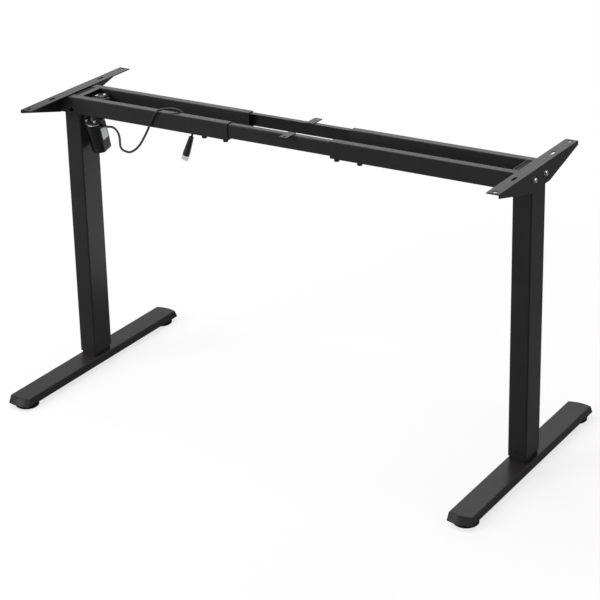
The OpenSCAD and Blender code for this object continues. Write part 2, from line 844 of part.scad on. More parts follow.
module motor_plate() {
  color(foil) on_motor_axis()
    translate([can_flats / 2, -plate_size[1] / 2, plate_top - plate_size[2]]) cube(plate_size);
}

module lead_gland() {
  color(rubber) translate([motor_x + can_flats / 2, lead_route[0][1], lead_route[0][2]])
    rod_x(gland_d, lead_route[0][0] - motor_x - can_flats / 2);
}

// --- Motor lead ----------------------------------------------------------

lead_sides = 10;

function unit(v) = v / norm(v);

// Direction of the route at point i
function heading(p, i) =
  unit(p[min(i + 1, len(p) - 1)] - p[max(i - 1, 0)]);

// Side direction at point i, carried on from the point before
function side_dir(p, i) =
  i == 0 ? unit(cross(heading(p, 0), [0, 0, 1]))
  : let (h = heading(p, i), s = side_dir(p, i - 1)) unit(s - h * (s * h));

// Ring of points round point i
function ring(p, i, r, n) =
  let (h = heading(p, i), a = side_dir(p, i), b = cross(h, a))
  [for (k = [0 : n - 1]) p[i] + r * (cos(360 * k / n) * a + sin(360 * k / n) * b)];

module swept_tube(p, r, n) {
  m = len(p);
  points = [for (i = [0 : m - 1]) each ring(p, i, r, n)];
  sides = [for (i = [0 : m - 2], k = [0 : n - 1])
    [i * n + k, (i + 1) * n + k, (i + 1) * n + (k + 1) % n, i * n + (k + 1) % n]];
  ends = [[for (k = [0 : n - 1]) k], [for (k = [n - 1 : -1 : 0]) (m - 1) * n + k]];
  polyhedron(points, concat(sides, ends), convexity = 6);
}

lead_end = lead_route[lead_last];
boot_tilt = atan2(-boot_dir[0], -boot_dir[2]);

// Places children at the end of the lead with +Z towards the connector
module at_lead_end(along) {
  translate(lead_end + along * unit(boot_dir)) rotate([0, 180 + boot_tilt, 0]) children();
}

module motor_lead() {
  color(rubber) swept_tube(lead_route, lead_d / 2, lead_sides);
}

module lead_boot() {
  color(rubber) at_lead_end(0) cylinder(d1 = boot_d1, d2 = boot_d2, h = boot_len);
}

module lead_connector() {
  color(nylon) at_lead_end(boot_len)
    translate([-plug_size[0] / 2, -plug_size[1] / 2, 0]) difference() {
      cube(plug_size);
      for (i = [1, 2]) translate([i * plug_size[0] / 3 - plug_slot / 2, -cut, plug_in])
        cube([plug_slot, plug_size[1] + 2 * cut, plug_size[2]]);
    }
}

// --- Top frame -----------------------------------------------------------

clamp_x = [rail_end + clamp_first, rail_end + clamp_first + clamp_pitch];
rail_r = 1.5;
rail_bend_r = 2.5;
tab_corner_r = 1.5;
port_d = 10;
port_in = 14;
port_up = 8.5;

module outer_rail(y, port) {
  color(coat) difference() {
    union() {
      translate([rail_end, y, rail_top - rail_h / 2])
        tube_along(rail_w, rail_h, rail_r, rail_wall, rail_len);
      for (x = clamp_x) translate([x, y, rail_bottom - clamp_nut_t])
        cylinder(d = clamp_nut_af / cos(30), h = clamp_nut_t, $fn = 6);
    }
    for (x = clamp_x) translate([x, y, rail_bottom - clamp_nut_t - cut])
      cylinder(d = clamp_d + run_clear, h = clamp_nut_t + rail_wall + 2 * cut);
    if (port) translate([col_x - port_in, y, rail_bottom + port_up]) rotate([90, 0, 0])
      cylinder(d = port_d, h = rail_w);
  }
}

module clamp_screws() {
  color(coat) for (x = clamp_x, s = [-1, 1])
    translate([x, s * rail_y, rail_bottom - clamp_nut_t]) {
      translate([0, 0, -clamp_head_h]) difference() {
        cylinder(d = clamp_head_d, h = clamp_head_h);
        translate([0, 0, -cut]) cylinder(d = clamp_socket_af / cos(30), h = clamp_socket_h + cut, $fn = 6);
      }
      cylinder(d = clamp_d, h = clamp_tip_z - rail_bottom + clamp_nut_t);
    }
}

// Angle section of an inner rail: web at the origin, flange to the right along the top
module angle_section() {
  inside_r = rail_bend_r - inner_rail_wall;
  square([inner_rail_wall, inner_rail_h - rail_bend_r]);
  translate([rail_bend_r, inner_rail_h - inner_rail_wall])
    square([inner_rail_w - rail_bend_r, inner_rail_wall]);
  intersection() {
    translate([0, inner_rail_h - rail_bend_r]) square(rail_bend_r);
    translate([rail_bend_r, inner_rail_h - rail_bend_r]) difference() {
      circle(r = rail_bend_r);
      circle(r = inside_r);
    }
  }
}

// Inner rail, its web on the side away from the middle of the frame
module inner_rail(side) {
  color(coat) translate([centre_shift - inner_rail_len / 2, 0, inner_rail_top - inner_rail_h])
    mirror([0, side > 0 ? 1 : 0, 0]) translate([0, -rail_y - inner_rail_w / 2, 0])
      rotate([90, 0, 90]) linear_extrude(inner_rail_len) angle_section();
}

module centre_tabs() {
  from = rail_y - inner_rail_w / 2;
  color(coat) for (s = [-1, 1]) difference() {
    translate([centre_shift, s * (from + tab_reach) / 2, inner_rail_top])
      linear_extrude(tab_t) round_rect(tab_w, tab_reach - from, tab_corner_r);
    translate([centre_shift, s * (tab_reach - tab_hole_in), inner_rail_top - cut])
      cylinder(d = tab_hole_d, h = tab_t + 2 * cut);
  }
}

// --- Side brackets -------------------------------------------------------

module side_bracket() {
  half = bracket_len / 2;
  bend_r = 2;
  slot_flat = 0.01;
  color(coat) difference() {
    intersection() {
      translate([0, half, 0]) rotate([90, 0, 0]) linear_extrude(bracket_len) {
        translate([bracket_out - bracket_w, height - flange_t]) square([bracket_w - bend_r, flange_t]);
        translate([bracket_out - web_t, height - web_depth]) square([web_t, web_depth - bend_r]);
        intersection() {
          translate([bracket_out - bend_r, height - bend_r]) circle(r = bend_r);
          translate([bracket_out - bend_r, height - flange_t]) square([bend_r, flange_t]);
        }
      }
      translate([bracket_out - bracket_w - cut, 0, 0]) rotate([90, 0, 90])
        linear_extrude(bracket_w + 2 * cut) polygon([
          [-half, height], [-half, height - web_end], [-web_flat / 2, height - web_depth],
          [web_flat / 2, height - web_depth], [half, height - web_end], [half, height]]);
    }
    for (s = [-1, 1]) {
      translate([flange_x, s * end_hole_pitch / 2, height - flange_t - cut])
        cylinder(d = end_hole_d, h = flange_t + 2 * cut);
      translate([flange_x, s * slot_pitch / 2, height - flange_t - cut])
        linear_extrude(flange_t + 2 * cut) round_rect(slot_w, slot_len, slot_w / 2 - slot_flat);
      translate([bracket_out - web_t - cut, s * bolt_pitch / 2, bolt_z])
        rod_x(bolt_d + hole_clear, web_t + 2 * cut);
    }
  }
}

module bracket_bolts() {
  color(zinc) for (s = [-1, 1]) translate([bracket_out, s * bolt_pitch / 2, bolt_z]) {
    rod_x(bolt_flange_d, bolt_flange_t);
    rotate([0, 90, 0]) cylinder(d = bolt_af / cos(30), h = bolt_head_h, $fn = 6);
    translate([-web_t - column_wall - bolt_bite + cut, 0, 0])
      rod_x(bolt_d, web_t + column_wall + bolt_bite - cut);
  }
}

// --- Pieces --------------------------------------------------------------

at_end(-1) foot();  // foot_left
at_end(1) foot();  // foot_right
at_end(-1) foot_bolts();  // foot_bolts_left
at_end(1) foot_bolts();  // foot_bolts_right
at_end(-1) level_foot(-1);  // level_foot_front_left
at_end(-1) level_foot(1);  // level_foot_rear_left
at_end(1) level_foot(-1);  // level_foot_front_right
at_end(1) level_foot(1);  // level_foot_rear_right
at_end(-1) inner_tube();  // inner_tube_left
at_end(1) inner_tube();  // inner_tube_right
at_end(-1) lift_nut();  // lift_nut_left
at_end(1) lift_nut();  // lift_nut_right
at_end(-1) glide_upper();  // glide_upper_left
at_end(1) glide_upper();  // glide_upper_right
at_end(-1) outer_tube();  // outer_tube_left
at_end(1) outer_tube();  // outer_tube_right
at_end(-1) glide_lower();  // glide_lower_left
at_end(1) glide_lower();  // glide_lower_right
at_end(-1) glide_screws();  // glide_screws_left
at_end(1) glide_screws();  // glide_screws_right
at_end(-1) outer_rail(-rail_y, true);  // rail_front_left
at_end(-1) outer_rail(rail_y, false);  // rail_rear_left
at_end(1) outer_rail(-rail_y, false);  // rail_front_right
at_end(1) outer_rail(rail_y, false);  // rail_rear_right
at_end(-1) side_bracket();  // side_bracket_left
at_end(1) side_bracket();  // side_bracket_right
at_end(-1) bracket_bolts();  // bracket_bolts_left
at_end(1) bracket_bolts();  // bracket_bolts_right
at_end(-1) clamp_screws();  // clamp_screws_left
at_end(1) clamp_screws();  // clamp_screws_right
at_end(-1) bevel_housing();  // bevel_housing_left
at_end(1) bevel_housing();  // bevel_housing_right
at_end(-1) housing_cover();  // housing_cover_left
at_end(1) housing_cover();  // housing_cover_right
at_end(-1) screw_bearing();  // screw_bearing_left
at_end(1) screw_bearing();  // screw_bearing_right
at_end(-1) lead_screw();  // lead_screw_left
at_end(1) lead_screw();  // lead_screw_right
at_end(-1) bevel_gear();  // bevel_gear_left
at_end(1) bevel_gear();  // bevel_gear_right
at_end(-1) bevel_pinion();  // bevel_pinion_left
at_end(1) bevel_pinion();  // bevel_pinion_right
drive_shaft();
cross_tube();
cross_rod();
worm_wheel();
worm_shaft();
gearbox_housing();
gearbox_cover();
gearbox_screws();
gearbox_bracket();
motor_can();
motor_plate();
lead_gland();
motor_lead();
lead_boot();
lead_connector();
inner_rail(-1);  // inner_rail_front
inner_rail(1);  // inner_rail_rear
centre_tabs();
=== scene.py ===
# %% [markdown]
# # A height adjustable desk frame
# Two telescopic columns stand on long feet. Rails that slide into each other join them, and one
# motor turns a cross shaft that lifts both sides. The solid model is loaded as a fixed frame, and
# this lesson gives it its finishes and adds the small pieces that the solids leave plain.

# %% Load the frame
import bpy
import bmesh
import json
from math import sin, cos, pi, radians
from mathutils import Matrix, Vector


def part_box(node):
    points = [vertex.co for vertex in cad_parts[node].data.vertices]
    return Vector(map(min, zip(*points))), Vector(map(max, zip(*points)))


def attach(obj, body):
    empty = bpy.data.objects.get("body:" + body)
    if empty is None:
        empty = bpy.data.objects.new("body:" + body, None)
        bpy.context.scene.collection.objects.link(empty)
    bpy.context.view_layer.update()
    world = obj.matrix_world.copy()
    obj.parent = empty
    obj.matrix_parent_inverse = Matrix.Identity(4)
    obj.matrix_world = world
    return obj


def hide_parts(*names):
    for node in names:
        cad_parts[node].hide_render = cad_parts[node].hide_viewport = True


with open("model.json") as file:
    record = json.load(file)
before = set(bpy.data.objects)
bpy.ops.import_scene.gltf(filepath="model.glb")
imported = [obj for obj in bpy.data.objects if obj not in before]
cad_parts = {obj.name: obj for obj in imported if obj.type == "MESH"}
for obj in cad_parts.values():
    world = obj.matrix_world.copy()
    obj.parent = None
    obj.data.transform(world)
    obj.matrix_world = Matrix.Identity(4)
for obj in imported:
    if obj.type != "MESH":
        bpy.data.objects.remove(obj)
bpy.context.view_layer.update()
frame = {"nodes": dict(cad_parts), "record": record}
nodes = frame["nodes"]
scene = bpy.context.scene
scene.view_settings.view_transform = "Standard"

# %% [markdown]
# ## The camera
# A long lens from a few metres away keeps the columns nearly parallel. The camera is turned by a
# matrix whose columns are its own right, up and back directions, because the small roll is then
# one more rotation and needs no Euler angles. A small shift moves the frame down on the sensor
# without tilting the view.

# %% Camera
camera_azimuth = radians(31.8023)
camera_elevation = radians(21.5715)
camera_roll = radians(-1.3119)
camera_place = Vector((2.2864, -3.6587, 2.1178))
camera_lens = 121.204
camera_shift = -0.0833
sensor_width = 36
view_end = 50
back = Vector((sin(camera_azimuth) * cos(camera_elevation),
               -cos(camera_azimuth) * cos(camera_elevation),
               sin(camera_elevation)))
level_right = Vector((cos(camera_azimuth), sin(camera_azimuth), 0))
level_up = back.cross(level_right)
right = level_right * cos(camera_roll) + level_up * sin(camera_roll)
up = level_up * cos(camera_roll) - level_right * sin(camera_roll)
camera = bpy.data.objects.new("camera", bpy.data.cameras.new("camera"))
scene.collection.objects.link(camera)
turn = Matrix((right, up, back)).transposed().to_4x4()
camera.matrix_world = Matrix.Translation(camera_place) @ turn
camera.data.sensor_width = sensor_width
camera.data.lens = camera_lens
camera.data.shift_y = camera_shift
camera.data.clip_end = view_end
scene.camera = camera
print("camera distance:", round(camera_place.length, 2))

# %% [markdown]
# ## Making a piece
# Every new piece is drawn with bmesh operators, already in its place, and becomes an object at
# the origin. One helper gives it its material, hangs it on the body that it rides on and hides
# the solids that it stands for. Edges sharper than a set angle stay crisp, and the rest are
# smooth, which needs no modifier.

# %% Piece helper
crisp_angle = radians(32)
weld_distance = 1e-6


def piece(name, bm, material, body, stands_for=()):
    bmesh.ops.remove_doubles(bm, verts=bm.verts, dist=weld_distance)
    bmesh.ops.recalc_face_normals(bm, faces=bm.faces)
    mesh = bpy.data.meshes.new(name)
    bm.to_mesh(mesh)
    bm.free()
    mesh.polygons.foreach_set("use_smooth", [True] * len(mesh.polygons))
    mesh.set_sharp_from_angle(angle=crisp_angle)
    mesh.materials.append(material)
    made = bpy.data.objects.new(name, mesh)
    scene.collection.objects.link(made)
    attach(made, body)
    if stands_for:
        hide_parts(*stands_for)
    print(name, "faces:", len(mesh.polygons))
    return made


print("edges stay crisp from", round(crisp_angle, 3), "rad")

# %% [markdown]
# Screws, sleeves and grips are round. A lathe would cut them from a bar, and a spin does the same
# here: a profile of radius and height is turned once round the height axis. A second helper gives
# the matrix that stands the turned shape up at a point, along any direction.

# %% Spin helpers
def turned(bm, profile, place, steps=32):
    """A profile of (radius, height) points, spun round the height axis, then moved to place."""
    earlier = set(bm.verts)
    corners = [bm.verts.new((r, 0, z)) for r, z in profile]
    edges = [bm.edges.new(pair) for pair in zip(corners, corners[1:])]
    bmesh.ops.spin(bm, geom=corners + edges, cent=(0, 0, 0), axis=(0, 0, 1), dvec=(0, 0, 0),
                   angle=2 * pi, steps=steps, use_merge=True)
    fresh = [vert for vert in bm.verts if vert not in earlier]
    bmesh.ops.transform(bm, matrix=place, verts=fresh)


def axis_place(point, direction):
    """Moves +Z onto direction, starting at point."""
    aim = Vector(direction).to_track_quat("Z", "Y").to_matrix().to_4x4()
    return Matrix.Translation(Vector(point)) @ aim


print("spin helpers: turned, axis_place")

# %% [markdown]
# ## Finishes
# All patterns read Object coordinates, in metres, so a grain of a millimetre is a noise scale of
# about a thousand. Each finish needs the same few nodes: a noise, a range for the roughness, a
# blend of two shades and a bump. Small helpers make them, so that a finish is one call.

# %% Node helpers
noise_low, noise_high = 0.3, 0.7
shade_low, shade_high = 0.35, 0.65


def start_material(name):
    material = bpy.data.materials.new(name)
    material.use_nodes = True
    tree = material.node_tree
    shader = tree.nodes["Principled BSDF"]
    place = tree.nodes.new("ShaderNodeTexCoord").outputs["Object"]
    return material, tree, shader, place


def noise(tree, place, scale, detail=2.0, stretch=(1, 1, 1)):
    mapping = tree.nodes.new("ShaderNodeMapping")
    mapping.inputs["Scale"].default_value = stretch
    texture = tree.nodes.new("ShaderNodeTexNoise")
    texture.inputs["Scale"].default_value = scale
    texture.inputs["Detail"].default_value = detail
    tree.links.new(place, mapping.inputs["Vector"])
    tree.links.new(mapping.outputs["Vector"], texture.inputs["Vector"])
    return texture.outputs["Fac"]


def spread(tree, value, low, high):
    """A noise value, stretched from low to high."""
    ranged = tree.nodes.new("ShaderNodeMapRange")
    ranged.inputs["From Min"].default_value = noise_low
    ranged.inputs["From Max"].default_value = noise_high
    ranged.inputs["To Min"].default_value = low
    ranged.inputs["To Max"].default_value = high
    tree.links.new(value, ranged.inputs["Value"])
    return ranged.outputs["Result"]


def shade_between(tree, value, dark, light):
    ramp = tree.nodes.new("ShaderNodeValToRGB")
    ramp.color_ramp.elements[0].position = shade_low
    ramp.color_ramp.elements[1].position = shade_high
    ramp.color_ramp.elements[0].color = (*dark, 1)
    ramp.color_ramp.elements[1].color = (*light, 1)
    tree.links.new(value, ramp.inputs["Fac"])
    return ramp.outputs["Color"]


def add_bump(tree, shader, height, strength, depth):
    bump = tree.nodes.new("ShaderNodeBump")
    bump.inputs["Strength"].default_value = strength
    bump.inputs["Distance"].default_value = depth
    tree.links.new(height, bump.inputs["Height"])
    tree.links.new(bump.outputs["Normal"], shader.inputs["Normal"])


print("noise is read from", noise_low, "to", noise_high)

# %% [markdown]
# A fine noise goes into the bump and the roughness, and a wide one moves the shade a little, as
# on real surfaces. A picture of the surface could do this too, but a pattern has no seams and
# needs no file.

# %% Finish helper
wide_detail, fine_detail = 4.0, 2.0


def finish(name, dark, light, rough, metal=0.0, grain=900, patch=12, bump=0.15, depth=0.0002,
           stretch=(1, 1, 1), specular=0.5, coat=0.0):
    material, tree, shader, place = start_material(name)
    shader.inputs["Metallic"].default_value = metal
    shader.inputs["Specular IOR Level"].default_value = specular
    shader.inputs["Coat Weight"].default_value = coat
    wide = noise(tree, place, patch, wide_detail)
    fine = noise(tree, place, grain, fine_detail, stretch)
    tree.links.new(shade_between(tree, wide, dark, light), shader.inputs["Base Color"])
    tree.links.new(spread(tree, fine, rough[0], rough[1]), shader.inputs["Roughness"])
    add_bump(tree, shader, fine, bump, depth)
    print("finish:", name)
    return material


# %% [markdown]
# Powder coat is the finish of nearly the whole frame: a dark satin layer with a fine orange peel.
# The motor has a smoother enamel, and the housing of its gears is a dark casting. All three are
# plain dark layers, so they differ only in grain, roughness and bump.

# %% Dark coats
powder_coat = finish("powder_coat", (0.0240, 0.0222, 0.0230), (0.0280, 0.0260, 0.0270),
                     (0.28, 0.40), grain=800, specular=0.16)
motor_enamel = finish("motor_enamel", (0.0040, 0.0036, 0.0036), (0.0062, 0.0056, 0.0056),
                      (0.20, 0.30), grain=1100, bump=0.08, specular=0.25)
dark_casting = finish("dark_casting", (0.014, 0.014, 0.015), (0.026, 0.026, 0.028),
                      (0.42, 0.58), grain=450, patch=40, bump=0.35)

# %% [markdown]
# Metallic is 1 for bare or plated metal, and the shade is then the colour of the mirror image. It
# is lower for the oxide, the casting and the foil, which are partly dull. The ground steel has its
# grain stretched along one axis, as a tool leaves it.

# %% Metals
zinc_plate = finish("zinc_plate", (0.60, 0.61, 0.64), (0.76, 0.77, 0.79), (0.16, 0.28),
                    metal=1.0, grain=1400, patch=60)
black_oxide = finish("black_oxide", (0.010, 0.010, 0.011), (0.020, 0.020, 0.021), (0.35, 0.5),
                     metal=0.6, grain=1200)
cast_alloy = finish("cast_alloy", (0.20, 0.205, 0.21), (0.34, 0.345, 0.35), (0.42, 0.6),
                    metal=0.85, grain=450, patch=40, bump=0.3)
ground_steel = finish("ground_steel", (0.42, 0.42, 0.43), (0.56, 0.56, 0.57), (0.22, 0.36),
                      metal=1.0, grain=300, stretch=(0.05, 1, 1))
wheel_bronze = finish("wheel_bronze", (0.48, 0.33, 0.15), (0.60, 0.43, 0.21), (0.28, 0.4),
                      metal=1.0, grain=600)
plain_foil = finish("plain_foil", (0.62, 0.64, 0.66), (0.70, 0.72, 0.74), (0.35, 0.45),
                    metal=0.3, grain=400, bump=0.05)

# %% [markdown]
# The plastics are the glides, the pads under the feet, the connector and the sheath of the lead.
# The connector is clear on the real desk. Here it is a pale opaque plastic with a thin coat,
# because a clear shell with nothing inside would nearly vanish on a white backdrop.

# %% Plastics
white_nylon = finish("white_nylon", (0.72, 0.71, 0.67), (0.80, 0.79, 0.75), (0.4, 0.5),
                     grain=500, bump=0.05)
clear_plastic = finish("clear_plastic", (0.76, 0.76, 0.75), (0.86, 0.86, 0.85), (0.12, 0.2),
                       grain=300, bump=0.03, coat=0.4)
moulded_plastic = finish("moulded_plastic", (0.009, 0.009, 0.010), (0.013, 0.013, 0.014),
                         (0.5, 0.62), grain=1500, bump=0.25, specular=0.12)
soft_pvc = finish("soft_pvc", (0.015, 0.015, 0.016), (0.021, 0.021, 0.022), (0.34, 0.44),
                  grain=1600, bump=0.12, specular=0.4)

# %% [markdown]
# ## The motor lead
# A short lead hangs from the motor, dips, climbs over the front rail and drops between the rails.
# It is one Bezier curve through listed points, because a curve keeps its round section without
# any work. The points are in millimetres from the face of the left column at desktop height. The
# lead, its boot and its connector stand for the three solids that lie there.

# %% Route of the lead
column_face = -0.567
desktop_height = 0.715
lead_diameter = 0.0053
lead_points = [
    (58, -14, -77), (66, -14, -77), (79, -19, -74), (92, -24, -74), (102, -28, -78),
    (110, -32, -85), (115, -36, -95), (118, -40, -104), (123, -44, -111), (133, -48, -115),
    (143, -50, -116), (154, -53, -115), (167, -55, -109), (178, -57, -101), (188, -58, -91),
    (197, -59, -79), (205, -59, -66), (213, -59, -52), (220, -59, -38), (227, -59, -25),
    (233, -59, -14), (239, -59, -5), (245, -57, 1), (252, -52, 4), (261, -45, 5),
    (271, -38, 4), (282, -33, 2), (293, -30, -4), (302, -29, -14), (310, -28, -26),
    (315, -27, -39), (317, -26, -52), (314, -26, -60)]
lead_origin = Vector((column_face, 0, desktop_height))
route = [lead_origin + Vector(point) / 1000 for point in lead_points]

# %% [markdown]
# The curve gets its thickness from a bevel. The handles are automatic, so the lead bends softly
# through every point and never kinks.

# %% Lead
def lead_curve(name, points, radius):
    data = bpy.data.curves.new(name, "CURVE")
    data.dimensions = "3D"
    data.bevel_depth = radius
    data.bevel_resolution = 4
    data.resolution_u = 6
    data.use_fill_caps = True
    spline = data.splines.new("BEZIER")
    spline.bezier_points.add(len(points) - 1)
    for knot, point in zip(spline.bezier_points, points):
        knot.co = point
        knot.handle_left_type = knot.handle_right_type = "AUTO"
    data.materials.append(soft_pvc)
    made = bpy.data.objects.new(name, data)
    scene.collection.objects.link(made)
    return made


lead = lead_curve("motor_lead_cable", route, lead_diameter / 2)
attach(lead, "frame_left")
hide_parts("motor_lead")
print("lead points:", len(route))

# %% [markdown]
# The boot is a soft sleeve that widens from the lead to the connector, with ribs that let it
# bend. The real one is moulded round the lead. Here it is spun from one profile, and a loop
# writes the ribs.

# %% Boot
lead_end = route[-1]
lead_heading = (route[-1] - route[-2]).normalized()
boot_length = 0.050
boot_start_radius = 0.0057
boot_widening = 0.063
rib_count, rib_pitch, rib_depth, first_rib = 5, 0.0042, 0.0006, 0.006
boot_profile = [(0, 0), (0.0044, 0), (boot_start_radius, 0.0016)]
for rib in range(rib_count):
    start = first_rib + rib * rib_pitch
    radius = boot_start_radius + start * boot_widening
    boot_profile += [(radius, start), (radius - rib_depth, start + 0.0006),
                     (radius - rib_depth, start + 0.0016), (radius + 0.0002, start + 0.0022)]
boot_profile += [(0.0078, 0.036), (0.0083, 0.038), (0.0085, 0.048), (0.0081, boot_length),
                 (0, boot_length)]
boot = bmesh.new()
turned(boot, boot_profile, axis_place(lead_end, lead_heading), steps=28)
boot = piece("lead_boot_sleeve", boot, soft_pvc, "frame_left", ["lead_boot"])

# %% [markdown]
# The connector is a pale shell whose front is parted into three prongs. Four rounded boxes make
# it, one for the shell and one for each prong.

# %% Connector
plug_width, plug_depth, plug_length = 0.015, 0.009, 0.014
prong_start, prong_gap = 0.006, 0.0016
prong_inset, prong_overlap = 0.0006, 0.0002
side = Vector((lead_heading.z, 0, -lead_heading.x)).normalized()
plug_turn = Matrix((side, lead_heading.cross(side), lead_heading)).transposed().to_4x4()
plug_place = Matrix.Translation(lead_end + lead_heading * boot_length) @ plug_turn


def block(bm, size, centre, place, bevel=0.0005, segments=2):
    """A box with rounded edges."""
    corners = bmesh.ops.create_cube(bm, size=1)["verts"]
    bmesh.ops.scale(bm, vec=size, verts=corners)
    bmesh.ops.translate(bm, vec=centre, verts=corners)
    bmesh.ops.transform(bm, matrix=place, verts=corners)
    edges = {edge for corner in corners for edge in corner.link_edges}
    bmesh.ops.bevel(bm, geom=list(edges), offset=bevel, segments=segments, profile=0.5,
                    affect="EDGES", material=-1)


connector = bmesh.new()
block(connector, (plug_width, plug_depth, prong_start), (0, 0, prong_start / 2), plug_place)
prong_width = (plug_width - 2 * prong_gap) / 3
prong_length = plug_length - prong_start
prong_middle = prong_start + prong_length / 2 - prong_overlap
for prong in (-1, 0, 1):
    block(connector, (prong_width, plug_depth - prong_inset, prong_length),
          (prong * (prong_width + prong_gap), 0, prong_middle), plug_place)
connector = piece("lead_connector_shell", connector, clear_plastic, "frame_left",
                  ["lead_connector"])

# %% [markdown]
# The gland on the motor is a short tapered grip with ribs, so that the lead doesn't bend sharply
# where it leaves the housing. It is spun along the lead, as the boot is, and its length comes
# from the box of the solid that it stands for.

# %% Lead gland
gland_low, gland_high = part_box("lead_gland")
gland_length = gland_high.x - gland_low.x
gland_start = Vector((gland_low.x, route[0].y, route[0].z))
gland_profile = [(0, 0), (0.0039, 0), (0.004, 0.0004), (0.004, 0.0022), (0.0034, 0.0026),
                 (0.0034, 0.0036), (0.0038, 0.0040), (0.0036, 0.0056), (0.0031, 0.0060),
                 (0.0031, 0.0070), (0.0034, 0.0074), (0.0031, gland_length), (0, gland_length)]
gland = bmesh.new()
turned(gland, gland_profile, axis_place(gland_start, (1, 0, 0)), steps=24)
piece("lead_gland_grip", gland, soft_pvc, "frame_left", ["lead_gland"])

# %% [markdown]
# ## Bolts and screws
# The two bolts on each side bracket have a hexagon head on a round flange. A six-sided cone makes
# the head, a bevel rounds its rim, and a spun profile makes the flange and the shank. A head cut
# from a spun disc would need booleans, which leave untidy edges at this size.

# %% Flange bolt helper
rim_round = 0.0008
head_sink = 0.0002


def hexagon_head(bm, place, across, height, start):
    """A six-sided head whose upper rim is rounded."""
    around = across / (2 * cos(pi / 6))
    made = bmesh.ops.create_cone(bm, cap_ends=True, segments=6, radius1=around, radius2=around,
                                 depth=height)["verts"]
    bmesh.ops.translate(bm, vec=(0, 0, start + height / 2), verts=made)
    rim = [edge for edge in {edge for vert in made for edge in vert.link_edges}
           if all(vert.co.z > start + height * 0.9 for vert in edge.verts)]
    bmesh.ops.transform(bm, matrix=place, verts=made)
    bmesh.ops.bevel(bm, geom=rim, offset=rim_round, segments=3, profile=0.5, affect="EDGES",
                    material=-1)


def flange_bolt(bm, place, across, head, flange, flange_height, shank, length):
    """The head starts a little inside the flange, so that no gap shows between the two."""
    turned(bm, [(0, -length), (shank * 0.8, -length), (shank, -length + rim_round), (shank, 0),
                (flange * 0.98, 0), (flange, 0.0003), (flange, flange_height * 0.55),
                (flange * 0.86, flange_height), (0, flange_height)], place, steps=40)
    hexagon_head(bm, place, across, head - flange_height + head_sink, flange_height - head_sink)


print("bolt rims are rounded by", rim_round, "m")

# %% [markdown]
# Each bracket is held to its column head by one pair of bolts. Their places come from the box of
# the solid pair: the flanges touch the sides of the box, and the heads reach its outer face.

# %% Bracket bolts
bolt_head, bolt_across = 0.0045, 0.009
bolt_flange, bolt_flange_height = 0.0055, 0.0012
bolt_shank = 0.003
for end, outward in (("left", -1), ("right", 1)):
    low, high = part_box("bracket_bolts_" + end)
    seat = low.x + bolt_head if outward < 0 else high.x - bolt_head
    bolts = bmesh.new()
    for y in (low.y + bolt_flange, high.y - bolt_flange):
        flange_bolt(bolts, axis_place((seat, y, (low.z + high.z) / 2), (outward, 0, 0)),
                    bolt_across, bolt_head, bolt_flange, bolt_flange_height, bolt_shank,
                    high.x - low.x - bolt_head)
    piece("bracket_bolt_pair_" + end, bolts, zinc_plate, "frame_" + end,
          ["bracket_bolts_" + end])

# %% [markdown]
# A cap screw has a round head with a six-sided pit. The head is spun with a rounded rim and an
# open top. Three rings close it: a round one, a six-sided one and a lower six-sided one, filled
# and bridged in turn. No boolean is needed.

# %% Cap screw helper
cap_rim = 0.0006


def cap_screw(bm, place, radius, head, socket, depth, shank, length):
    """A round head with a six-sided socket, made as rings that step down into the head."""
    opening = socket * 1.35
    turned(bm, [(opening, head), (radius - cap_rim, head), (radius, head - cap_rim), (radius, 0),
                (shank, 0), (shank, -length + cap_rim), (shank * 0.7, -length), (0, -length)],
           place, steps=36)
    earlier = set(bm.verts)
    outer = bmesh.ops.create_circle(bm, segments=36, radius=opening)["verts"]
    inner = bmesh.ops.create_circle(bm, segments=6, radius=socket)["verts"]
    low = bmesh.ops.create_circle(bm, segments=6, radius=socket * 0.98)["verts"]
    bmesh.ops.translate(bm, vec=(0, 0, head), verts=outer + inner)
    bmesh.ops.translate(bm, vec=(0, 0, head - depth), verts=low)
    rings = [[edge for edge in bm.edges if set(edge.verts) <= set(ring)]
             for ring in (outer, inner, low)]
    bmesh.ops.triangle_fill(bm, edges=rings[0] + rings[1], use_beauty=True)
    bmesh.ops.bridge_loops(bm, edges=rings[1] + rings[2])
    bmesh.ops.contextual_create(bm, geom=rings[2])
    fresh = [vert for vert in bm.verts if vert not in earlier]
    bmesh.ops.transform(bm, matrix=place, verts=fresh)


print("cap screw rims are rounded by", cap_rim, "m")

# %% [markdown]
# ## Clamp screws
# Under each outer rail two cap screws press up against the inner rail and hold the width. Their
# heads point down, so the same cap screw helper is aimed at the floor.

# %% Clamp screws
clamp_radius, clamp_head = 0.006, 0.005
for end in ("left", "right"):
    low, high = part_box("clamp_screws_" + end)
    clamps = bmesh.new()
    for x in (low.x + clamp_radius, high.x - clamp_radius):
        for y in (low.y + clamp_radius, high.y - clamp_radius):
            cap_screw(clamps, axis_place((x, y, low.z + clamp_head), (0, 0, -1)),
                      radius=clamp_radius, head=clamp_head, socket=0.0027, depth=0.0025,
                      shank=0.003, length=high.z - low.z - clamp_head)
    piece("clamp_screw_set_" + end, clamps, black_oxide, "frame_" + end,
          ["clamp_screws_" + end])

# %% [markdown]
# ## Gearbox screws
# Three cap screws hold the gearbox cover. They stand on ears round the cross shaft, so each is
# placed by an angle and a reach from the shaft.

